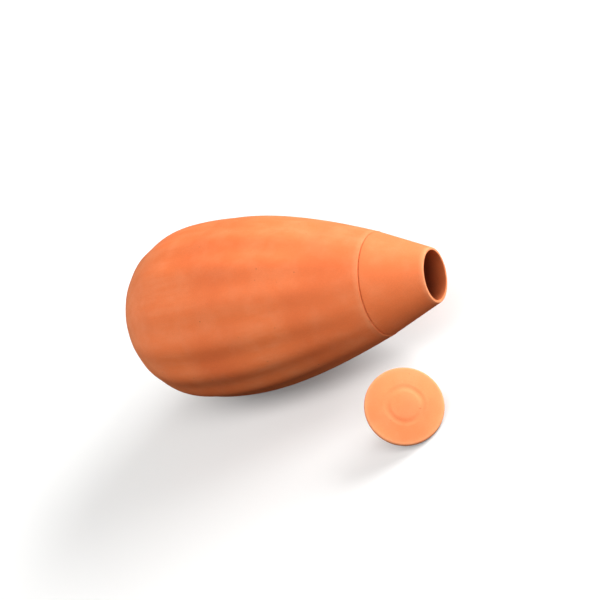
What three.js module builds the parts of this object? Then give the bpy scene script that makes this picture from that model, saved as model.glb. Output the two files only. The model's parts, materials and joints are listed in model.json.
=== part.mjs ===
// Terracotta olla: an unglazed clay watering vessel that lies on its side, with its lid taken off beside it.
// Millimetres, +Z up. Each piece is turned upright round its own axis, and then laid on the floor at z = 0,
// leaning as it comes to rest there. The origin is on the floor, in the middle of the ground that they take.
import * as THREE from "three";

// Vessel, with heights along its axis from the flat foot
const VESSEL_LENGTH = 300;
const FOOT_RADIUS = 26;
const BELLY_RADIUS = 81; // mean of the lobes, at the widest ring
const BELLY_HEIGHT = 92; // of the widest ring
const BELLY_FULLNESS = 2.55; // 2 rounds the foot end as an ellipse, more makes it blunter
const BELLY_WALL = 5.5;
const FLOOR_THICKNESS = 8;
const LOBES = 15;
const LOBE_DEPTH = 2; // crest to valley, where they are deepest
const LOBE_START = 12; // height where they begin, over the plain foot
const LOBE_LEAN = 0.8; // 1 has them deepest half-way up to the seam, less brings that towards the foot
const SEAM_RADIUS = 45; // of the belly's top edge
const SEAM_HEIGHT = 252;
const SEAM_DRAW = 0.37; // radius lost for each millimetre of height where the belly meets the neck
const SEAM_STEP = 0.8; // by which the belly's edge stands proud of the neck
const SEAM_ROUND = 1.2; // of the two edges that meet there
const LUTE_GAP = 0.3; // between the two edges that are luted together

// Neck
const MOUTH_RADIUS = 23; // outside
const RIM_WALL = 2.4; // the wall thickens from here down to the belly's
const RIM_ROUND = 0.6;

// Lid, with heights from the face that seats on the rim
const LID_OVERHANG = 8.5; // past the outside of the mouth
const LID_THICKNESS = 5; // at its edge
const LID_ROUND = 1.6;
const LID_CROWN = 1.4; // by which the middle of the top stands over its edge
const RING_RADIUS = 14; // of the soft ring that is turned into the top, at its lowest
const RING_WIDTH = 7;
const RING_DEPTH = 0.6;
const PLUG_CLEARANCE = 0.8; // all round, in the mouth
const PLUG_LENGTH = 19;
const PLUG_DRAFT = 8.5; // radius lost from the plug's root to its tip
const PLUG_WALL = 4.5; // at its tip
const PLUG_ROUND = 1;

// Where the lid lies, and the way its face looks, turned from the vessel's length
const LID_BACK = 23.5; // short of the mouth, along the vessel
const LID_ASIDE = 103.3; // from the vessel's axis
const LID_FACING = -34; // degrees

// Fired clay
const BELLY_COLOUR = 0xe8804c;
const NECK_COLOUR = 0xec8550;
const LID_COLOUR = 0xf39a62;
const CLAY_ROUGHNESS = 0.8;

// Facets
const STEPS_PER_LOBE = 6;
const OUTSIDE_STEPS = 10; // from the foot to the widest ring, and from there to the seam
const INSIDE_STEPS = 6;
const ROUND_STEPS = 3;
const CROWN_STEPS = 4;
const NECK_SIDES = 72;
const LID_SIDES = 60;

const point = (radius, height) => new THREE.Vector2(radius, height);

// A quarter round of an outline, about a centre, starting at an angle in degrees from outwards to upwards
function quarterRound(radius, height, size, start) {
  const arc = [];
  for (let step = 0; step <= ROUND_STEPS; step++) {
    const angle = THREE.MathUtils.degToRad(start + (90 * step) / ROUND_STEPS);
    arc.push(point(radius + size * Math.cos(angle), height + size * Math.sin(angle)));
  }
  return arc;
}

// A closed body turned round +Z from an outline that runs up its outside and down its inside
function turned(outline, sides) {
  return new THREE.LatheGeometry(outline, sides).rotateX(Math.PI / 2);
}

// The foot end, a superellipse from a start radius at its low height out to the widest ring
function bulbCurve(widest, startRadius, low, steps) {
  const power = 2 / BELLY_FULLNESS;
  const first = Math.asin((startRadius / widest) ** (1 / power));
  const depth = (BELLY_HEIGHT - low) / Math.cos(first) ** power;
  const curve = [];
  for (let step = 0; step <= steps; step++) {
    const angle = first + ((Math.PI / 2 - first) * step) / steps;
    const drop = depth * Math.max(0, Math.cos(angle)) ** power;
    curve.push(point(widest * Math.sin(angle) ** power, BELLY_HEIGHT - drop));
  }
  return curve;
}

// The belly from the widest ring up to a top radius and height, drawn in at the seam's slope
function shoulderCurve(widest, topRadius, topHeight, steps) {
  const handle = (topHeight - BELLY_HEIGHT) / 3;
  const curve = new THREE.CubicBezierCurve(
    point(widest, BELLY_HEIGHT),
    point(widest, BELLY_HEIGHT + handle),
    point(topRadius + SEAM_DRAW * handle, topHeight - handle),
    point(topRadius, topHeight),
  );
  return curve.getPoints(steps).slice(1);
}

// Half the depth of the lobes at a height: they fade out towards the foot and the seam
function lobeSwell(height) {
  const share = (height - LOBE_START) / (SEAM_HEIGHT - LOBE_START);
  const rise = THREE.MathUtils.clamp(share, 0, 1) ** LOBE_LEAN;
  return (LOBE_DEPTH / 2) * Math.sin(Math.PI * rise);
}

// Egg-shaped lower vessel. Its lobes are on the outside only, with a valley towards +X.
function makeBelly() {
  const edge = SEAM_HEIGHT - SEAM_ROUND;
  const outside = [
    ...bulbCurve(BELLY_RADIUS, FOOT_RADIUS, 0, OUTSIDE_STEPS),
    ...shoulderCurve(BELLY_RADIUS, SEAM_RADIUS, edge, OUTSIDE_STEPS),
  ];
  const hollowRadius = BELLY_RADIUS - BELLY_WALL;
  const inside = [
    ...bulbCurve(hollowRadius, 0, FLOOR_THICKNESS, INSIDE_STEPS),
    ...shoulderCurve(hollowRadius, SEAM_RADIUS - BELLY_WALL, SEAM_HEIGHT, INSIDE_STEPS),
  ];
  const edgeRound = quarterRound(SEAM_RADIUS - SEAM_ROUND, edge, SEAM_ROUND, 0).slice(1);
  const outline = [point(0, 0), ...outside, ...edgeRound, ...inside.reverse()];
  const belly = turned(outline, LOBES * STEPS_PER_LOBE);
  const { position } = belly.attributes;
  const place = new THREE.Vector3();
  for (let index = 0; index < position.count; index++) {
    const ring = index % outline.length;
    if (ring < 1 || ring > outside.length) continue;
    place.fromBufferAttribute(position, index);
    const radius = Math.hypot(place.x, place.y);
    const swell = -lobeSwell(place.z) * Math.cos(LOBES * Math.atan2(place.y, place.x));
    const scale = 1 + swell / radius;
    position.setXYZ(index, place.x * scale, place.y * scale, place.z);
  }
  return belly;
}

// Plain cone that stands on the belly's edge, with the mouth's rounded rim at its top
function makeNeck() {
  const foot = SEAM_HEIGHT + LUTE_GAP;
  const footRadius = SEAM_RADIUS - SEAM_STEP;
  const rimHeight = VESSEL_LENGTH - RIM_ROUND;
  const boreRadius = MOUTH_RADIUS - RIM_WALL;
  const inside = point(SEAM_RADIUS - BELLY_WALL, foot);
  const outline = [
    inside,
    ...quarterRound(footRadius - SEAM_ROUND, foot + SEAM_ROUND, SEAM_ROUND, -90),
    ...quarterRound(MOUTH_RADIUS - RIM_ROUND, rimHeight, RIM_ROUND, 0),
    ...quarterRound(boreRadius + RIM_ROUND, rimHeight, RIM_ROUND, 90),
    inside,
  ];
  return turned(outline, NECK_SIDES);
}

// Cap with a rounded edge, a ring turned into its low crown, and a hollow tapered plug under it
function makeLid() {
  const radius = MOUTH_RADIUS + LID_OVERHANG;
  const rootRadius = MOUTH_RADIUS - RIM_WALL - PLUG_CLEARANCE;
  const tipRadius = rootRadius - PLUG_DRAFT;
  const hollowRadius = tipRadius - PLUG_WALL;
  const crownRadius = radius - LID_ROUND;
  const crownPoint = (reach, sunk = 0) =>
    point(reach, LID_THICKNESS + LID_CROWN * (1 - (reach / crownRadius) ** 2) - sunk);
  const ringOutside = RING_RADIUS + RING_WIDTH / 2;
  const ringInside = RING_RADIUS - RING_WIDTH / 2;
  const crown = [];
  for (let step = 0; step < CROWN_STEPS; step++) {
    crown.push(crownPoint(crownRadius + ((ringOutside - crownRadius) * step) / CROWN_STEPS));
  }
  const outline = [
    point(0, 0),
    point(hollowRadius, 0),
    point(hollowRadius, -PLUG_LENGTH),
    ...quarterRound(tipRadius - PLUG_ROUND, PLUG_ROUND - PLUG_LENGTH, PLUG_ROUND, -90),
    point(rootRadius, 0),
    ...quarterRound(crownRadius, LID_ROUND, LID_ROUND, -90),
    ...quarterRound(crownRadius, LID_THICKNESS - LID_ROUND, LID_ROUND, 0).slice(0, -1),
    ...crown,
    crownPoint(ringOutside),
    crownPoint(RING_RADIUS, RING_DEPTH),
    crownPoint(ringInside),
    crownPoint(0),
  ];
  return turned(outline, LID_SIDES);
}

// Height of the centre of mass of closed bodies of the same clay
function massHeight(bodies) {
  const [a, b, c] = [new THREE.Vector3(), new THREE.Vector3(), new THREE.Vector3()];
  let volume = 0;
  let moment = 0;
  for (const { attributes, index } of bodies) {
    for (let corner = 0; corner < index.count; corner += 3) {
      a.fromBufferAttribute(attributes.position, index.getX(corner));
      b.fromBufferAttribute(attributes.position, index.getX(corner + 1));
      c.fromBufferAttribute(attributes.position, index.getX(corner + 2));
      const height = (a.z + b.z + c.z) / 4;
      const wedge = a.dot(b.cross(c)) / 6;
      volume += wedge;
      moment += wedge * height;
    }
  }
  return moment / volume;
}

// The +X side of the bodies' outline seen from the side: its convex chain of points, from the foot upwards
function sideChain(bodies) {
  const points = [];
  for (const { attributes } of bodies) {
    for (let index = 0; index < attributes.position.count; index++) {
      const radius = attributes.position.getX(index);
      if (radius > 0) points.push(point(radius, attributes.position.getZ(index)));
    }
  }
  points.sort((a, b) => a.y - b.y || b.x - a.x);
  const chain = [];
  for (const next of points) {
    while (chain.length > 1) {
      const edge = chain.at(-1).clone().sub(chain.at(-2));
      const beyond = next.clone().sub(chain.at(-2));
      if (edge.cross(beyond) > 0) break;
      chain.pop();
    }
    chain.push(next);
  }
  return chain;
}

// How far bodies lean forward when they lie on the floor with +X down. They can rest on each straight stretch
// of their side view that has the centre of mass over it, and the one that leaves them most level is taken.
function restingLean(bodies) {
  const centre = point(0, massHeight(bodies));
  const chain = sideChain(bodies);
  let lean = Infinity;
  for (let index = 1; index < chain.length; index++) {
    const stretch = chain[index].clone().sub(chain[index - 1]);
    const along = centre.clone().sub(chain[index - 1]).dot(stretch) / stretch.lengthSq();
    const turn = Math.atan2(-stretch.x, stretch.y);
    if (along >= 0 && along <= 1 && Math.abs(turn) < Math.abs(lean)) lean = turn;
  }
  return lean;
}

// A group of upright bodies laid down towards a heading in degrees from +X, with its lowest point at z = 0
function laidDown(meshes, heading) {
  const group = new THREE.Group().add(...meshes);
  const lean = restingLean(meshes.map((mesh) => mesh.geometry));
  group.rotation.set(0, Math.PI / 2 + lean, THREE.MathUtils.degToRad(heading), "ZYX");
  group.position.z = -new THREE.Box3().setFromObject(group, true).min.z;
  return group;
}

function clayPiece(name, geometry, colour) {
  const clay = new THREE.MeshStandardMaterial({ color: colour, roughness: CLAY_ROUGHNESS, metalness: 0 });
  const mesh = new THREE.Mesh(geometry, clay);
  mesh.name = name;
  return mesh;
}

const vessel = laidDown(
  [clayPiece("belly", makeBelly(), BELLY_COLOUR), clayPiece("neck", makeNeck(), NECK_COLOUR)],
  0,
);
const lid = laidDown([clayPiece("lid", makeLid(), LID_COLOUR)], LID_FACING);
const mouth = new THREE.Vector3(0, 0, VESSEL_LENGTH).applyEuler(vessel.rotation);
lid.position.x = mouth.x - LID_BACK;
lid.position.y = -LID_ASIDE;

const olla = new THREE.Group();
const ground = new THREE.Group().add(vessel, lid);
const middle = new THREE.Box3().setFromObject(ground, true).getCenter(new THREE.Vector3());
ground.position.set(-middle.x, -middle.y, 0);
olla.add(ground);

export default olla;
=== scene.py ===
"""Terracotta olla: a lobed clay watering vessel on its side, its lid beside it, and a studio stage."""

import json
import math

import bmesh
import bpy
from bpy.props import FloatProperty, FloatVectorProperty, IntProperty, PointerProperty
from mathutils import Matrix, Quaternion, Vector, noise
from mathutils.geometry import interpolate_bezier


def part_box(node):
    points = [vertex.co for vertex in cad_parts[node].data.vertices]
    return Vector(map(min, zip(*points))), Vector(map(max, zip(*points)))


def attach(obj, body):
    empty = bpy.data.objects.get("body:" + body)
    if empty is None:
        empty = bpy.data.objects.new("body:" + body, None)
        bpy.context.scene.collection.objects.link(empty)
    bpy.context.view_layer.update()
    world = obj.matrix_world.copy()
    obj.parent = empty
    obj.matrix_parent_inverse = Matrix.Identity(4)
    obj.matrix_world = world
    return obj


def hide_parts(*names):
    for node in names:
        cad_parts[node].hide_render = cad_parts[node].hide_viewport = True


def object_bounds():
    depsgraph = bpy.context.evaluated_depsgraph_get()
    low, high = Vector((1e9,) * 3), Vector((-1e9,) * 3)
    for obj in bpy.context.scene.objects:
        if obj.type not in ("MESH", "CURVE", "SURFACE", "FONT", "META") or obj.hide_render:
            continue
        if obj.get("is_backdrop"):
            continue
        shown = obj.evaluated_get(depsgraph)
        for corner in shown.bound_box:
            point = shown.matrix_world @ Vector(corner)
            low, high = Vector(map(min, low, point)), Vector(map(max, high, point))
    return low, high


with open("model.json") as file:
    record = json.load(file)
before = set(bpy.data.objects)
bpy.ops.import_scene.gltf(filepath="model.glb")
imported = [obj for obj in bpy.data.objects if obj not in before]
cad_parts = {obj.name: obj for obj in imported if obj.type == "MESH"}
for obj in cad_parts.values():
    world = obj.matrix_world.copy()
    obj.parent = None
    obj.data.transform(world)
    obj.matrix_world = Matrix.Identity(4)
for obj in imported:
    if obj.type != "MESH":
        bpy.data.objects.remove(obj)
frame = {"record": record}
CAD_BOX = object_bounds()

bl_info = {
    "name": "Terracotta Olla",
    "version": (1, 0, 0),
    "blender": (4, 5, 0),
    "location": "3D View > Sidebar > Olla",
    "description": "Builds a lobed clay watering vessel, its lid and a studio stage",
    "category": "Add Mesh",
}

# Where the vessel lies, from the two flat faces that the record names
FACES = {mount["name"]: mount for mount in frame["record"]["mounts"]}
FOOT = Vector(FACES["foot"]["pos_m"])
VESSEL_AXIS = -Vector(FACES["foot"]["axis"]).normalized()
VESSEL_LENGTH = (Vector(FACES["rim"]["pos_m"]) - FOOT).dot(VESSEL_AXIS)

# Facets of the turned pieces and the floor
STEPS_PER_LOBE = 16
NECK_SIDES = 180
LID_SIDES = 160
FLOOR_SIDES = 64
CURVE_STEPS = 44
NECK_CUTS = 14
FACE_STEPS = 40
ROUND_SEGMENTS = 5
SHARP_ANGLE = math.radians(38)
MERGE_DISTANCE = 1e-6

TURN_AXIS = Vector((0, 0, 1))
IMAGE_SIDE = 600

# How the hand leaves the lid: the power of the fade to its edge, and where on the edge's round the painted
# highlight lies
PRESS_FADE = 4
HIGHLIGHT_INSET = 1 / 3

# Finish of the clay and the floor
WHITE = (1, 1, 1, 1)
BUMP_STRENGTH = 0.35
GRAIN_HEIGHT = 0.5
CLAY_SHINE = 0.3
FLOOR_ROUGHNESS = 0.9

# Ranges of noise over which each mark of the clay sets in, and what some of them are taken to
RISING = (0, 1)
FADING = (1, 0)
PATCH_NOISE = (0.46, 0.72)
CLOUD_NOISE = (0.45, 0.8)
SPECK_NOISE = (0.3, 0.7)
SPECK_SHADE = (0.93, 1.05)
PIT_DISTANCE = (0.04, 0.1)
PITTED_NOISE = (0.55, 0.62)
GRAIN_NOISE = (0.3, 0.7)
GRAIN_ROUGHNESS = (0.62, 0.86)
SCUFF_NOISE = (0.45, 0.85)
SCUFFED_NOISE = (0.42, 0.6)
EDGE_MARK_NOISE = (0.3, 0.7)
EDGE_MARK_SHARE = (0.5, 1)

NODE_SPACING = 220


# Kinds of value that a user can set


def length_of(name, description, default):
    return FloatProperty(
        name=name, description=description, default=default, min=0, unit="LENGTH", precision=4
    )


def number_of(name, description, default):
    return FloatProperty(name=name, description=description, default=default, min=0, precision=3)


def angle_of(name, description, default):
    return FloatProperty(name=name, description=description, default=math.radians(default), subtype="ANGLE")


def power_of(name, description, default):
    return FloatProperty(name=name, description=description, default=default, min=0, subtype="POWER")


def colour_of(name, description, default):
    return FloatVectorProperty(
        name=name, description=description, default=default, size=4, min=0, max=1, subtype="COLOR"
    )


def place_of(name, description, default):
    return FloatVectorProperty(
        name=name, description=description, default=default, subtype="XYZ", unit="LENGTH"
    )


class OllaVessel(bpy.types.PropertyGroup):
    """Sizes of the vessel, with heights along its axis from the foot"""

    length: length_of("Length", "From the foot to the rim", VESSEL_LENGTH)
    foot_radius: length_of("Foot radius", "Of the flat foot", 0.026)
    foot_round: length_of("Foot round", "Softened edge of the foot", 0.003)
    belly_radius: length_of("Belly radius", "At the widest ring, as a mean of the lobes", 0.081)
    belly_height: length_of("Belly height", "Height of the widest ring", 0.092)
    belly_fullness: number_of("Fullness", "2 rounds the foot end as an ellipse, more makes it blunter", 2.55)
    belly_wall: length_of("Belly wall", "Thickness of the clay", 0.0055)
    floor_thickness: length_of("Floor thickness", "Clay over the foot", 0.008)
    lobes: IntProperty(name="Lobes", description="Soft lobes round the belly", default=15, min=3)
    lobe_depth: length_of("Lobe depth", "From crest to valley, where they are deepest", 0.002)
    lobe_start: length_of("Lobe start", "Height over the foot where the lobes begin", 0.012)
    lobe_lean: number_of("Lobe lean", "1 has them deepest half-way up, less brings that to the foot", 0.8)
    seam_radius: length_of("Seam radius", "Of the belly's top edge", 0.045)
    seam_height: length_of("Seam height", "Where the neck is luted on", 0.252)
    seam_draw: number_of("Seam draw", "Radius lost for each unit of height at the seam", 0.37)
    seam_step: length_of("Seam step", "By which the belly's edge stands proud", 0.0008)
    seam_round: length_of("Seam round", "Rounding of the two edges at the seam", 0.0012)
    lute_gap: length_of("Lute gap", "Between the luted edges", 0.0003)
    mouth_radius: length_of("Mouth radius", "Outside of the mouth", 0.023)
    rim_wall: length_of("Rim wall", "Thickness of the clay at the lip", 0.0024)
    rim_round: length_of("Rim round", "Rounding of the lip", 0.0006)
    # Painted shade: the darkening in the mouth reaches full strength at this depth.
    damp_reach: length_of("Damp reach", "Depth in the mouth where the clay is fully damp", 0.024)
    dust: number_of("Dust", "How pale the dusty foot end is", 0.45)
    dust_reach: length_of("Dust reach", "Height over the foot where the dust ends", 0.075)
    # Painted highlights along the seam, lip and lid edge: their width, and how pale the seam's is.
    rub_reach: length_of("Rub reach", "Width of the painted highlight along an edge", 0.0012)
    seam_rub: number_of("Seam rub", "How pale the painted highlight on the belly's edge at the seam is", 0.3)
    hand_swell: length_of("Hand swell", "Unevenness left by smoothing with the hand", 0.0002)
    hand_reach: length_of("Hand reach", "Width of the uneven patches", 0.05)


class OllaLid(bpy.types.PropertyGroup):
    """Sizes of the lid, with heights from the face that seats on the rim"""

    overhang: length_of("Overhang", "Past the outside of the mouth", 0.0085)
    thickness: length_of("Thickness", "At the edge", 0.005)
    edge_round: length_of("Edge round", "Rounding of the edge", 0.0016)
    crown: length_of("Crown", "By which the middle stands over the edge", 0.0014)
    ring_radius: length_of("Ring radius", "Of the soft ring turned into the top", 0.014)
    ring_width: length_of("Ring width", "Across the ring", 0.007)
    ring_depth: length_of("Ring depth", "Of the ring", 0.0006)
    plug_clearance: length_of("Plug clearance", "All round in the mouth", 0.0008)
    plug_length: length_of("Plug length", "Under the cap", 0.019)
    plug_draft: length_of("Plug draft", "Radius lost from root to tip", 0.0085)
    plug_wall: length_of("Plug wall", "At the tip", 0.0045)
    plug_round: length_of("Plug round", "Rounding of the tip", 0.001)
    root_round: length_of("Root round", "Fillet between the plug and the cap", 0.001)
    facing: angle_of("Facing", "Turn of the face from the vessel's length", -34)
    hand_swell: length_of("Hand swell", "Unevenness left by pressing with the hand", 0.0005)
    hand_reach: length_of("Hand reach", "Width of the uneven patches", 0.018)
    ring_wander: length_of("Ring wander", "By which the ring strays from a true round", 0.0015)


class OllaClay(bpy.types.PropertyGroup):
    """Colours and grain of the fired clay"""

    vessel: colour_of("Vessel", "Main colour of the vessel", (0.82, 0.188, 0.053, 1))
    lid: colour_of("Lid", "Main colour of the lid", (0.92, 0.28, 0.098, 1))
    pale: colour_of("Pale", "Dusty and worn clay, and painted highlights on edges", (0.97, 0.42, 0.2, 1))
    deep: colour_of("Deep", "Harder fired patches", (0.66, 0.12, 0.03, 1))
    # Painted shade: a dark colour laid on the clay inside the vessel, in place of shade.
    damp: colour_of("Damp", "Clay inside the vessel, which stays damp", (0.3, 0.055, 0.018, 1))
    pit: colour_of("Pit", "Small dark pits and specks", (0.2, 0.04, 0.015, 1))
    patch_size: length_of("Patch size", "Across the harder fired patches", 0.06)
    patch_seed: number_of("Patch seed", "Chooses where the patches fall on the vessel", 2)
    lid_seed: number_of("Lid seed", "Chooses where the patches fall on the lid", 8)
    cloud_size: length_of("Cloud size", "Across the dusty clouds", 0.022)
    speck_size: length_of("Speck size", "Across the fine specks", 0.0008)
    grain_size: length_of("Grain size", "Across the grains of clay", 0.0011)
    pit_spacing: length_of("Pit spacing", "Between the pits", 0.0065)
    ring_spacing: length_of("Ring spacing", "Between the rings left by turning", 0.0024)
    stroke_width: length_of("Stroke width", "Across a stroke of the smoothing hand", 0.008)
    stroke_length: length_of("Stroke length", "Along a stroke of the smoothing hand", 0.08)
    rub_size: length_of("Rub size", "Across the marks on rubbed and highlighted edges", 0.0055)
    bump_depth: length_of("Bump depth", "Of the grain, pits and strokes", 0.0006)


class OllaStage(bpy.types.PropertyGroup):
    """Floor, light and camera"""

    floor_radius: length_of("Floor radius", "Of the round floor", 12.0)
    floor_colour: colour_of("Floor", "Pale floor, as it is seen", (0.78, 0.78, 0.77, 1))
    floor_bounce: colour_of("Floor bounce", "What it gives back to the underside", (0.03, 0.026, 0.022, 1))
    floor_glow: number_of("Floor glow", "Light added to the floor where it is seen, near the olla", 0.12)
    white_from: length_of("White from", "Where the floor begins to fade to white", 0.25)
    white_to: length_of("White to", "Where the floor is all white", 1.3)
    fill: number_of("Fill", "Strength of the light from all round", 0.1)
    light_away: length_of("Light distance", "From the olla to each soft light", 1.5)
    light_height: length_of("Light height", "Of each soft light", 0.9)
    key_power: power_of("Key power", "Of the soft light behind the neck", 41)
    key_width: length_of("Key width", "Of the key light", 1.4)
    key_turn: angle_of("Key turn", "Of the key light from the vessel's length", 48)
    key_rise: angle_of("Key rise", "Of the key light over the floor", 22)
    front_power: power_of("Front power", "Of the soft light in front of the belly", 28)
    front_width: length_of("Front width", "Of the front light", 4.2)
    front_turn: angle_of("Front turn", "Of the front light from the vessel's length", -86)
    front_rise: angle_of("Front rise", "Of the front light over the floor", 62)
    mouth_power: power_of("Mouth power", "Of the low soft light before the mouth", 7)
    mouth_width: length_of("Mouth width", "Of the light before the mouth", 0.6)
    mouth_turn: angle_of("Mouth turn", "Of the light before the mouth from the vessel's length", -16)
    mouth_rise: angle_of("Mouth rise", "Of the light before the mouth over the floor", 5)
    side_power: power_of("Side power", "Of the soft light that falls on the mouth's far wall", 4)
    side_width: length_of("Side width", "Of the side light", 0.6)
    side_turn: angle_of("Side turn", "Of the side light from the vessel's length", -65)
    side_rise: angle_of("Side rise", "Of the side light over the floor", 20)
    foot_power: power_of("Foot power", "Of the soft light behind the foot", 4)
    foot_width: length_of("Foot width", "Of the light behind the foot", 1.0)
    foot_turn: angle_of("Foot turn", "Of the light behind the foot from the vessel's length", -165)
    foot_rise: angle_of("Foot rise", "Of the light behind the foot over the floor", 24)
    camera_place: place_of("Camera place", "Of the lens", (0.57008, -0.61846, 0.54230))
    camera_turn: angle_of("Camera turn", "Of the camera's side of the vessel, from its length", -49.239)
    camera_rise: angle_of("Camera rise", "Of the line of sight over the floor", 28.981)
    camera_roll: angle_of("Camera roll", "About the line of sight", -36.295)
    lens_pixels: number_of("Lens", "Focal length in pixels of the square image", 1100)


class OllaSettings(bpy.types.PropertyGroup):
    """All that can be set"""

    vessel: PointerProperty(type=OllaVessel)
    lid: PointerProperty(type=OllaLid)
    clay: PointerProperty(type=OllaClay)
    stage: PointerProperty(type=OllaStage)


# Outlines, as points of radius and height


def bulb_curve(vessel, widest, start, low):
    """The foot end: a superellipse from a start radius at its low height out to the widest ring."""
    power = 2 / vessel.belly_fullness
    first = math.asin((start / widest) ** (1 / power))
    depth = (vessel.belly_height - low) / math.cos(first) ** power
    curve = []
    for step in range(CURVE_STEPS + 1):
        angle = first + (math.pi / 2 - first) * step / CURVE_STEPS
        drop = depth * max(0, math.cos(angle)) ** power
        curve.append((widest * math.sin(angle) ** power, vessel.belly_height - drop))
    return curve


def shoulder_curve(vessel, widest, top_radius, top_height):
    """The belly from the widest ring up to its top edge, drawn in at the seam's slope."""
    handle = (top_height - vessel.belly_height) / 3
    curve = interpolate_bezier(
        Vector((widest, vessel.belly_height)),
        Vector((widest, vessel.belly_height + handle)),
        Vector((top_radius + vessel.seam_draw * handle, top_height - handle)),
        Vector((top_radius, top_height)),
        CURVE_STEPS + 1,
    )
    return [tuple(point) for point in curve[1:]]


def cone_side(start, end):
    """Evenly spaced points from one end of a straight side to the other."""
    first, last = Vector(start), Vector(end)
    return [tuple(first.lerp(last, step / NECK_CUTS)) for step in range(NECK_CUTS + 1)]


def lid_face(lid, reach):
    """The lid's top from the edge's round to the axis, as a low crown."""
    face = []
    for step in range(FACE_STEPS + 1):
        radius = reach * (1 - step / FACE_STEPS)
        face.append((radius, lid.thickness + lid.crown * (1 - (radius / reach) ** 2)))
    return face


# Turning, shaping and placing


def turned(points, rounds, sides, closed=False):
    """A bmesh turned round Z from an outline, after the corners named in rounds are rounded."""
    bm = bmesh.new()
    verts = [bm.verts.new((radius, 0, height)) for radius, height in points]
    ends = verts[1:] + verts[:1] if closed else verts[1:]
    for start, end in zip(verts, ends):
        bm.edges.new((start, end))
    for corner, size in rounds.items():
        bmesh.ops.bevel(
            bm, geom=[verts[corner]], offset=size, offset_type="OFFSET", affect="VERTICES",
            segments=ROUND_SEGMENTS, profile=0.5, material=-1,
        )
    bmesh.ops.spin(
        bm, geom=bm.verts[:] + bm.edges[:], cent=(0, 0, 0), axis=TURN_AXIS, angle=math.tau,
        steps=sides, use_merge=True,
    )
    bmesh.ops.remove_doubles(bm, verts=bm.verts, dist=MERGE_DISTANCE)
    bmesh.ops.recalc_face_normals(bm, faces=bm.faces)
    return bm


def shape_by_hand(bm, vessel, outside):
    """Swell the outside into lobes that fade at the foot and the seam, and leave it a little uneven."""
    for vert in bm.verts:
        radius, height = vert.co.xy.length, vert.co.z
        if radius < MERGE_DISTANCE or not outside(radius, height):
            continue
        swell = vessel.hand_swell * noise.noise(vert.co / vessel.hand_reach)
        if height < vessel.seam_height:
            around = math.cos(vessel.lobes * math.atan2(vert.co.y, vert.co.x))
            share = (height - vessel.lobe_start) / (vessel.seam_height - vessel.lobe_start)
            rise = max(0, share) ** vessel.lobe_lean
            swell -= vessel.lobe_depth / 2 * math.sin(math.pi * rise) * around
        vert.co.xy *= 1 + swell / radius


def press_ring(bm, lid, reach):
    """Press a soft ring into the lid's top by hand: it strays a little, and the face is left uneven."""
    for vert in bm.verts:
        radius = vert.co.xy.length
        if radius > reach or vert.co.z < lid.thickness - MERGE_DISTANCE:
            continue
        uneven = noise.noise(vert.co / lid.hand_reach)
        across = 2 * (radius - lid.ring_radius - lid.ring_wander * uneven) / lid.ring_width
        fade = 1 - (radius / reach) ** PRESS_FADE
        vert.co.z += lid.hand_swell * uneven * fade
        if abs(across) < 1:
            vert.co.z -= lid.ring_depth * (1 + math.cos(math.pi * across)) / 2


def mark(bm, name, measure):
    """Store on each vertex a value that is measured from its radius and height."""
    layer = bm.verts.layers.float.new(name)
    for vert in bm.verts:
        vert[layer] = measure(vert.co.xy.length, vert.co.z)


def smooth(share):
    """A share held between 0 and 1 that starts and ends softly."""
    share = min(1, max(0, share))
    return share * share * (3 - 2 * share)


def near_ring(ring, reach):
    """A measure that is 1 on a ring of a radius and height, and fades out over the reach."""
    def measure(radius, height):
        return math.exp(-math.dist((radius, height), ring) / reach)

    return measure


def finished(name, bm, place, material, body, node):
    """Lay the bmesh in its place as a piece that rides on a body and stands for a CAD node."""
    bm.transform(place)
    mesh = bpy.data.meshes.new(name)
    bm.to_mesh(mesh)
    bm.free()
    mesh.shade_smooth()
    mesh.set_sharp_from_angle(angle=SHARP_ANGLE)
    mesh.materials.append(material)
    piece = bpy.data.objects.new(name, mesh)
    bpy.context.scene.collection.objects.link(piece)
    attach(piece, body)
    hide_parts(node)


def vessel_place():
    """From the upright vessel to where it lies: +Z along its axis, and +X down."""
    side = Vector((0, 1, 0))
    down = side.cross(VESSEL_AXIS)
    turn = Matrix((down, side, VESSEL_AXIS)).transposed()
    return Matrix.Translation(FOOT) @ turn.to_4x4()


def plug_radii(vessel, lid):
    """The plug's radius at its root and at its tip."""
    root = vessel.mouth_radius - vessel.rim_wall - lid.plug_clearance
    return root, root - lid.plug_draft


def lid_place(bm, vessel, lid):
    """From the upright lid to where it lies, on its edge and on the tip of its plug."""
    edge = Vector((vessel.mouth_radius + lid.overhang - lid.edge_round, lid.edge_round))
    _, tip_radius = plug_radii(vessel, lid)
    tip = Vector((tip_radius - lid.plug_round, lid.plug_round - lid.plug_length))
    reach = edge - tip
    lean = math.atan2(reach.x, reach.y) + math.asin((lid.edge_round - lid.plug_round) / reach.length)
    turn = Matrix.Rotation(lid.facing, 4, "Z") @ Matrix.Rotation(math.pi / 2 - lean, 4, "Y")
    low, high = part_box("lid")
    corners = [turn @ vert.co for vert in bm.verts]
    middle = [(min(axis) + max(axis)) / 2 for axis in zip(*corners)]
    return Matrix.Translation((low + high) / 2 - Vector(middle)) @ turn


# Clay


def new_node(tree, kind):
    """A node of a kind, to the right of the others."""
    made = tree.nodes.new(kind)
    made.location = (NODE_SPACING * len(tree.nodes), 0)
    return made


def feed(tree, socket, value):
    """Link a socket to what another node puts out, or set it to a value that is the same all over."""
    if isinstance(value, bpy.types.NodeSocket):
        tree.links.new(value, socket)
    else:
        socket.default_value = value


def add_node(tree, kind, **values):
    """A node of a kind, with values for its sockets by their lower-case names."""
    made = new_node(tree, kind)
    for socket in made.inputs:
        value = values.pop(socket.name.lower().replace(" ", "_"), None)
        if value is not None:
            feed(tree, socket, value)
    if values:
        raise ValueError(f"{kind} has no socket named {sorted(values)}")
    return made


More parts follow.
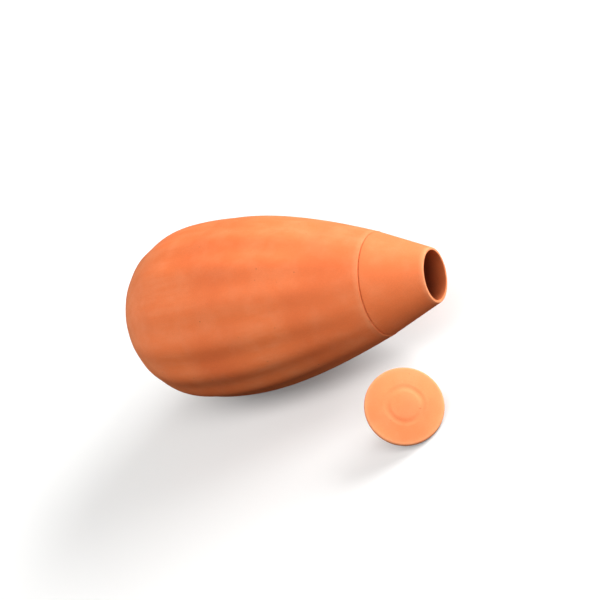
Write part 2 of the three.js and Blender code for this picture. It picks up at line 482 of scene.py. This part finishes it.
def new_group(name, inputs, outputs):
    """An empty shader group with named sockets, and its two end nodes."""
    tree = bpy.data.node_groups.new(name, "ShaderNodeTree")
    for way, sockets in (("INPUT", inputs), ("OUTPUT", outputs)):
        for socket, kind in sockets.items():
            tree.interface.new_socket(name=socket, in_out=way, socket_type=f"NodeSocket{kind}")
    start = tree.nodes.new("NodeGroupInput")
    end = tree.nodes.new("NodeGroupOutput")
    return tree, start, end


def mixed(tree, share, first, second, mode="MIX"):
    """The colour of two that are mixed by a share."""
    made = new_node(tree, "ShaderNodeMix")
    made.data_type = "RGBA"
    made.blend_type = mode
    sockets = {socket.identifier: socket for socket in made.inputs}
    for name, value in (("Factor_Float", share), ("A_Color", first), ("B_Color", second)):
        feed(tree, sockets[name], value)
    return next(socket for socket in made.outputs if socket.identifier == "Result_Color")


def calculated(tree, operation, *values):
    """The result of one operation on one or two values."""
    made = new_node(tree, "ShaderNodeMath")
    made.operation = operation
    for socket, value in zip(made.inputs, values):
        feed(tree, socket, value)
    return made.outputs["Value"]


def squared(tree, value):
    """A value times itself."""
    return calculated(tree, "MULTIPLY", value, value)


def stretched(tree, value, source, target=RISING):
    """A value taken from one range to another, and held there."""
    made = add_node(
        tree, "ShaderNodeMapRange", value=value,
        from_min=source[0], from_max=source[1], to_min=target[0], to_max=target[1],
    )
    return made.outputs["Result"]


def noise_at(tree, where, size, detail=3, roughness=0.5, seed=0):
    """Noise with features of about a size."""
    made = add_node(
        tree, "ShaderNodeTexNoise", vector=where, scale=1 / size, detail=detail, roughness=roughness, w=seed
    )
    made.noise_dimensions = "4D"
    return made.outputs["Fac"]


def fired_mottle(name, clay):
    """Broad harder fired patches, dusty clouds and fine specks."""
    tree, start, end = new_group(
        name,
        {
            "Vector": "Vector", "Seed": "Float", "Main": "Color", "Deep": "Color", "Pale": "Color",
            "Patches": "Float", "Clouds": "Float",
        },
        {"Color": "Color"},
    )
    where = start.outputs["Vector"]
    broad = noise_at(tree, where, clay.patch_size, seed=start.outputs["Seed"])
    patches = calculated(tree, "MULTIPLY", stretched(tree, broad, PATCH_NOISE), start.outputs["Patches"])
    colour = mixed(tree, patches, start.outputs["Main"], start.outputs["Deep"])
    billows = noise_at(tree, where, clay.cloud_size, detail=5, roughness=0.55)
    clouds = calculated(tree, "MULTIPLY", stretched(tree, billows, CLOUD_NOISE), start.outputs["Clouds"])
    colour = mixed(tree, clouds, colour, start.outputs["Pale"])
    fine = noise_at(tree, where, clay.speck_size, detail=2, roughness=0.7)
    specks = stretched(tree, fine, SPECK_NOISE, SPECK_SHADE)
    tree.links.new(mixed(tree, 1, colour, specks, "MULTIPLY"), end.inputs["Color"])
    return tree


def clay_grain(name, clay):
    """Fine grain with scattered pits: its height, its roughness and where the pits are."""
    tree, start, end = new_group(
        name,
        {"Vector": "Vector", "Pits": "Float"},
        {"Height": "Float", "Roughness": "Float", "Pits": "Float"},
    )
    where = start.outputs["Vector"]
    grain = noise_at(tree, where, clay.grain_size, detail=5, roughness=0.65)
    cells = add_node(tree, "ShaderNodeTexVoronoi", vector=where, scale=1 / clay.pit_spacing, randomness=1)
    holes = stretched(tree, cells.outputs["Distance"], PIT_DISTANCE, FADING)
    some = stretched(tree, noise_at(tree, where, clay.cloud_size, detail=2), PITTED_NOISE)
    holes = calculated(tree, "MULTIPLY", holes, calculated(tree, "MULTIPLY", some, start.outputs["Pits"]))
    height = calculated(tree, "SUBTRACT", calculated(tree, "MULTIPLY", grain, GRAIN_HEIGHT), holes)
    tree.links.new(height, end.inputs["Height"])
    tree.links.new(stretched(tree, grain, GRAIN_NOISE, GRAIN_ROUGHNESS), end.inputs["Roughness"])
    tree.links.new(holes, end.inputs["Pits"])
    return tree


def turning_rings(name, clay):
    """Faint rings left by the wheel, as a height that depends on radius and height alone."""
    tree, start, end = new_group(name, {"Vector": "Vector"}, {"Height": "Float"})
    x, y, z = add_node(tree, "ShaderNodeSeparateXYZ", vector=start.outputs["Vector"]).outputs
    radius = calculated(tree, "SQRT", calculated(tree, "ADD", squared(tree, x), squared(tree, y)))
    flat = add_node(tree, "ShaderNodeCombineXYZ", x=radius, z=z)
    tree.links.new(noise_at(tree, flat.outputs["Vector"], clay.ring_spacing), end.inputs["Height"])
    return tree


def hand_strokes(name, clay):
    """Long shallow strokes of a smoothing hand: their height, and the dusty scuffs that some of them left."""
    tree, start, end = new_group(
        name, {"Vector": "Vector", "Seed": "Float"}, {"Height": "Float", "Scuffs": "Float"}
    )
    where = start.outputs["Vector"]
    drawn_out = (1, 1, clay.stroke_width / clay.stroke_length)
    along = add_node(tree, "ShaderNodeMapping", vector=where, scale=drawn_out).outputs["Vector"]
    strokes = noise_at(tree, along, clay.stroke_width)
    broad = noise_at(tree, where, clay.patch_size, seed=start.outputs["Seed"])
    some = stretched(tree, broad, SCUFFED_NOISE, FADING)
    tree.links.new(strokes, end.inputs["Height"])
    scuffs = calculated(tree, "MULTIPLY", stretched(tree, strokes, SCUFF_NOISE), some)
    tree.links.new(scuffs, end.inputs["Scuffs"])
    return tree


def worn_edge(name, clay):
    """Paler clay along rubbed edges, and painted highlights along rounded edges, broken up by noise."""
    tree, start, end = new_group(
        name, {"Vector": "Vector", "Wear": "Float", "Color": "Color", "Pale": "Color"}, {"Color": "Color"}
    )
    uneven = noise_at(tree, start.outputs["Vector"], clay.rub_size, detail=4, roughness=0.6)
    breakup = stretched(tree, uneven, EDGE_MARK_NOISE, EDGE_MARK_SHARE)
    share = calculated(tree, "MULTIPLY", start.outputs["Wear"], breakup)
    tree.links.new(mixed(tree, share, start.outputs["Color"], start.outputs["Pale"]), end.inputs["Color"])
    return tree


def place_group(tree, make, clay, **values):
    """A node of the group that a function makes. The group is made once, and shared after that."""
    name = make.__name__.replace("_", " ").capitalize()
    made = new_node(tree, "ShaderNodeGroup")
    made.node_tree = bpy.data.node_groups.get(name) or make(name, clay)
    for socket in made.inputs:
        feed(tree, socket, values[socket.name.lower()])
    return made.outputs


def attribute(tree, name):
    """A value that is stored on the vertices of a piece."""
    made = new_node(tree, "ShaderNodeAttribute")
    made.attribute_name = name
    return made.outputs["Fac"]


def clay_material(name, clay, colour, seed, place, patches, clouds, scuffs, pits, rings, strokes):
    """Matt fired clay, with how strongly each of its marks shows, in the upright frame of a piece."""
    material = bpy.data.materials.new(name)
    material.use_nodes = True
    tree = material.node_tree
    tree.nodes.clear()
    upright = place.inverted()
    own = add_node(
        tree, "ShaderNodeMapping", vector=add_node(tree, "ShaderNodeTexCoord").outputs["Object"],
        location=upright.to_translation(), rotation=upright.to_euler(),
    ).outputs["Vector"]
    mottle = place_group(
        tree, fired_mottle, clay, vector=own, seed=seed, main=colour, deep=clay.deep, pale=clay.pale,
        patches=patches, clouds=clouds,
    )
    stroked = place_group(tree, hand_strokes, clay, vector=own, seed=seed)
    grain = place_group(tree, clay_grain, clay, vector=own, pits=pits)
    turned_in = place_group(tree, turning_rings, clay, vector=own)
    dusty = calculated(tree, "MULTIPLY", stroked["Scuffs"], scuffs)
    colour = mixed(tree, dusty, mottle["Color"], clay.pale)
    # Real wear and dust, and painted highlights along rounded edges, where the clay turns pale.
    wear = attribute(tree, "edge_wear")
    colour = place_group(tree, worn_edge, clay, vector=own, wear=wear, color=colour, pale=clay.pale)["Color"]
    colour = mixed(tree, grain["Pits"], colour, clay.pit)
    # Painted shade: the inside of the vessel is darkened, most of all deep in the mouth.
    colour = mixed(tree, attribute(tree, "damp"), colour, clay.damp)
    height = grain["Height"]
    for marks, strength in ((turned_in["Height"], rings), (stroked["Height"], strokes)):
        height = calculated(tree, "ADD", height, calculated(tree, "MULTIPLY", marks, strength))
    bump = add_node(tree, "ShaderNodeBump", strength=BUMP_STRENGTH, distance=clay.bump_depth, height=height)
    shader = add_node(
        tree, "ShaderNodeBsdfPrincipled", base_color=colour, roughness=grain["Roughness"],
        normal=bump.outputs["Normal"], specular_ior_level=CLAY_SHINE,
    )
    add_node(tree, "ShaderNodeOutputMaterial", surface=shader.outputs["BSDF"])
    return material


# Operators


class OLLA_OT_belly(bpy.types.Operator):
    """Turn the hollow belly, swell its lobes and lay it down"""

    bl_idname = "olla.belly"
    bl_label = "Belly"

    def execute(self, context):
        vessel, clay = context.scene.olla.vessel, context.scene.olla.clay
        hollow = vessel.belly_radius - vessel.belly_wall
        bulb = bulb_curve(vessel, vessel.belly_radius, vessel.foot_radius, 0)
        edge = vessel.seam_height - vessel.seam_round
        outside = bulb + shoulder_curve(vessel, vessel.belly_radius, vessel.seam_radius, edge)
        outside.append((vessel.seam_radius, vessel.seam_height))
        inside = bulb_curve(vessel, hollow, 0, vessel.floor_thickness)
        inside += shoulder_curve(vessel, hollow, vessel.seam_radius - vessel.belly_wall, vessel.seam_height)
        rounds = {1: vessel.foot_round, len(outside): vessel.seam_round}
        bm = turned([(0, 0), *outside, *reversed(inside)], rounds, vessel.lobes * STEPS_PER_LOBE)
        heights = [height for _, height in inside]
        radii = [radius for radius, _ in inside]

        def is_outside(radius, height):
            if height < vessel.floor_thickness:
                return True
            above = next(index for index, level in enumerate(heights) if level >= height - MERGE_DISTANCE)
            return radius > radii[above] + vessel.belly_wall / 2

        shape_by_hand(bm, vessel, is_outside)
        # The seam ring is a painted highlight on the belly's rounded edge; the dust and the foot's edge are
        # real wear.
        seam_highlight_ring = near_ring((vessel.seam_radius, edge), vessel.rub_reach)
        foot_edge = near_ring((vessel.foot_radius, 0), vessel.foot_round)

        def how_worn(radius, height):
            dusty = vessel.dust * smooth(1 - height / vessel.dust_reach)
            return max(dusty, foot_edge(radius, height), vessel.seam_rub * seam_highlight_ring(radius, height))

        mark(bm, "edge_wear", how_worn)
        # Painted shade over all of the belly's inside.
        mark(bm, "damp", lambda radius, height: not is_outside(radius, height))
        place = vessel_place()
        material = clay_material(
            "belly_clay", clay, clay.vessel, clay.patch_seed, place,
            patches=0.5, clouds=0.2, scuffs=0.25, pits=0.8, rings=0.05, strokes=0.3,
        )
        finished("olla_belly", bm, place, material, "vessel", "belly")
        return {"FINISHED"}


class OLLA_OT_neck(bpy.types.Operator):
    """Turn the plain cone of the neck with its rounded lip"""

    bl_idname = "olla.neck"
    bl_label = "Neck"

    def execute(self, context):
        vessel, clay = context.scene.olla.vessel, context.scene.olla.clay
        foot = vessel.seam_height + vessel.lute_gap
        outside = cone_side(
            (vessel.seam_radius - vessel.seam_step, foot), (vessel.mouth_radius, vessel.length)
        )
        bore = vessel.mouth_radius - vessel.rim_wall
        inside = cone_side((bore, vessel.length), (vessel.seam_radius - vessel.belly_wall, foot))
        rounds = {0: vessel.seam_round, NECK_CUTS: vessel.rim_round, NECK_CUTS + 1: vessel.rim_round}
        bm = turned(outside + inside, rounds, NECK_SIDES, closed=True)
        foot_middle = vessel.seam_radius - (vessel.seam_step + vessel.belly_wall) / 2
        rim_middle = vessel.mouth_radius - vessel.rim_wall / 2

        def is_outside(radius, height):
            share = (height - foot) / (vessel.length - foot)
            return radius > foot_middle + (rim_middle - foot_middle) * share

        # Painted shade in the mouth: none at the lip, full at the reach.
        def how_damp(radius, height):
            return 0 if is_outside(radius, height) else smooth((vessel.length - height) / vessel.damp_reach)

        shape_by_hand(bm, vessel, is_outside)
        # A painted highlight along the rounded lip.
        lip = (vessel.mouth_radius - vessel.rim_round, vessel.length)
        mark(bm, "edge_wear", near_ring(lip, vessel.rub_reach))
        mark(bm, "damp", how_damp)
        place = vessel_place()
        material = clay_material(
            "neck_clay", clay, clay.vessel, clay.patch_seed, place,
            patches=0.25, clouds=0.16, scuffs=0.1, pits=0.4, rings=0.3, strokes=0.1,
        )
        finished("olla_neck", bm, place, material, "vessel", "neck")
        return {"FINISHED"}


class OLLA_OT_lid(bpy.types.Operator):
    """Turn the lid with its hollow plug, and lay it on its edge"""

    bl_idname = "olla.lid"
    bl_label = "Lid"

    def execute(self, context):
        vessel, lid, clay = context.scene.olla.vessel, context.scene.olla.lid, context.scene.olla.clay
        radius = vessel.mouth_radius + lid.overhang
        root, tip = plug_radii(vessel, lid)
        hollow = tip - lid.plug_wall
        under = [
            (0, 0),
            (hollow, 0),
            (hollow, -lid.plug_length),
            (tip, -lid.plug_length),
            (root, 0),
            (radius, 0),
            (radius, lid.thickness),
        ]
        rounds = {
            1: lid.root_round,
            2: lid.plug_round,
            3: lid.plug_round,
            4: lid.root_round,
            5: lid.edge_round,
            6: lid.edge_round,
        }
        reach = radius - lid.edge_round
        bm = turned(under + lid_face(lid, reach), rounds, LID_SIDES)
        press_ring(bm, lid, reach)
        # A painted highlight along the lid's rounded top edge.
        inset = lid.edge_round * HIGHLIGHT_INSET
        mark(bm, "edge_wear", near_ring((radius - inset, lid.thickness - inset), vessel.rub_reach))
        place = lid_place(bm, vessel, lid)
        # The lid's deep patches are stronger than the belly's; the lid seed sets where they darken its face.
        material = clay_material(
            "lid_clay", clay, clay.lid, clay.lid_seed, place,
            patches=0.6, clouds=0.25, scuffs=0.1, pits=0.4, rings=0.2, strokes=0,
        )
        finished("olla_lid", bm, place, material, "lid", "lid")
        return {"FINISHED"}


class OLLA_OT_stage(bpy.types.Operator):
    """Lay the floor, light the scene and place the camera"""

    bl_idname = "olla.stage"
    bl_label = "Stage"

    def execute(self, context):
        scene = context.scene
        stage = scene.olla.stage
        lay_floor(scene, stage)
        light_all_round(scene, stage)
        add_camera(scene, stage)
        for name in ("key", "front", "mouth", "side", "foot"):
            hang_soft_light(scene, stage, name)
        scene.view_settings.view_transform = "Standard"
        return {"FINISHED"}


def lay_floor(scene, stage):
    """A pale round floor that fades to white with distance, and that gives little light back to the olla."""
    bm = bmesh.new()
    bmesh.ops.create_circle(bm, cap_ends=True, radius=stage.floor_radius, segments=FLOOR_SIDES)
    mesh = bpy.data.meshes.new("floor")
    bm.to_mesh(mesh)
    bm.free()
    material = bpy.data.materials.new("floor_paint")
    material.use_nodes = True
    tree = material.node_tree
    shader = tree.nodes["Principled BSDF"]
    seen = add_node(tree, "ShaderNodeLightPath").outputs["Is Camera Ray"]
    paint = mixed(tree, seen, stage.floor_bounce, stage.floor_colour)
    tree.links.new(paint, shader.inputs["Base Color"])
    distance = add_node(
        tree, "ShaderNodeVectorMath", vector=add_node(tree, "ShaderNodeTexCoord").outputs["Object"]
    )
    distance.operation = "LENGTH"
    fade = (stage.white_from, stage.white_to)
    glow = stretched(tree, distance.outputs["Value"], fade, (stage.floor_glow, 1))
    tree.links.new(calculated(tree, "MULTIPLY", seen, glow), shader.inputs["Emission Strength"])
    shader.inputs["Emission Color"].default_value = WHITE
    shader.inputs["Roughness"].default_value = FLOOR_ROUGHNESS
    mesh.materials.append(material)
    floor = bpy.data.objects.new("floor", mesh)
    scene.collection.objects.link(floor)
    floor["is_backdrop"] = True


def light_all_round(scene, stage):
    """Even light from all sides, which looks white where the camera sees past the floor."""
    world = bpy.data.worlds.new("studio")
    world.use_nodes = True
    tree = world.node_tree
    background = tree.nodes["Background"]
    background.inputs["Color"].default_value = WHITE
    seen = add_node(tree, "ShaderNodeLightPath").outputs["Is Camera Ray"]
    tree.links.new(stretched(tree, seen, RISING, (stage.fill, 1)), background.inputs["Strength"])
    scene.world = world


def direction(turn, rise):
    """Turned from +X towards +Y, and raised over the floor."""
    return Vector((math.cos(rise) * math.cos(turn), math.cos(rise) * math.sin(turn), math.sin(rise)))


def add_camera(scene, stage):
    """The camera at its place and angle, with a lens for the square image."""
    data = bpy.data.cameras.new("camera")
    data.lens = data.sensor_width * stage.lens_pixels / IMAGE_SIDE
    camera = bpy.data.objects.new("camera", data)
    back = direction(stage.camera_turn, stage.camera_rise)
    turn = (-back).to_track_quat("-Z", "Y") @ Quaternion(TURN_AXIS, stage.camera_roll)
    camera.matrix_world = Matrix.Translation(stage.camera_place) @ turn.to_matrix().to_4x4()
    scene.collection.objects.link(camera)
    scene.camera = camera


def hang_soft_light(scene, stage, name):
    """A broad light, in its direction away from the olla, that faces the middle of it."""
    away = direction(getattr(stage, f"{name}_turn"), getattr(stage, f"{name}_rise"))
    data = bpy.data.lights.new(name, "AREA")
    data.shape = "RECTANGLE"
    data.size = getattr(stage, f"{name}_width")
    data.size_y = stage.light_height
    data.energy = getattr(stage, f"{name}_power")
    light = bpy.data.objects.new(name, data)
    low, high = CAD_BOX
    place = (low + high) / 2 + stage.light_away * away
    light.matrix_world = Matrix.Translation(place) @ away.to_track_quat("Z", "Y").to_matrix().to_4x4()
    light.visible_camera = False
    scene.collection.objects.link(light)


class OLLA_PT_panel(bpy.types.Panel):
    """Sizes, colours and the steps that build the olla"""

    bl_label = "Terracotta Olla"
    bl_space_type = "VIEW_3D"
    bl_region_type = "UI"
    bl_category = "Olla"

    def draw(self, context):
        settings = context.scene.olla
        for step in STEPS:
            self.layout.operator(step.bl_idname)
        for group in (settings.vessel, settings.lid, settings.clay, settings.stage):
            column = self.layout.column(align=True)
            for name in group.__annotations__:
                column.prop(group, name)


STEPS = (OLLA_OT_belly, OLLA_OT_neck, OLLA_OT_lid, OLLA_OT_stage)
CLASSES = (OllaVessel, OllaLid, OllaClay, OllaStage, OllaSettings, *STEPS, OLLA_PT_panel)


def register():
    for item in CLASSES:
        bpy.utils.register_class(item)
    bpy.types.Scene.olla = PointerProperty(type=OllaSettings)


def unregister():
    del bpy.types.Scene.olla
    for item in reversed(CLASSES):
        bpy.utils.unregister_class(item)


def main():
    register()
    bpy.ops.olla.belly()
    bpy.ops.olla.neck()
    bpy.ops.olla.lid()
    bpy.ops.olla.stage()
    boxes = {"cad": CAD_BOX, "visual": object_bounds()}
    {name: [list(corner) for corner in box] for name, box in boxes.items()}


if __name__ == "__main__":
    main()
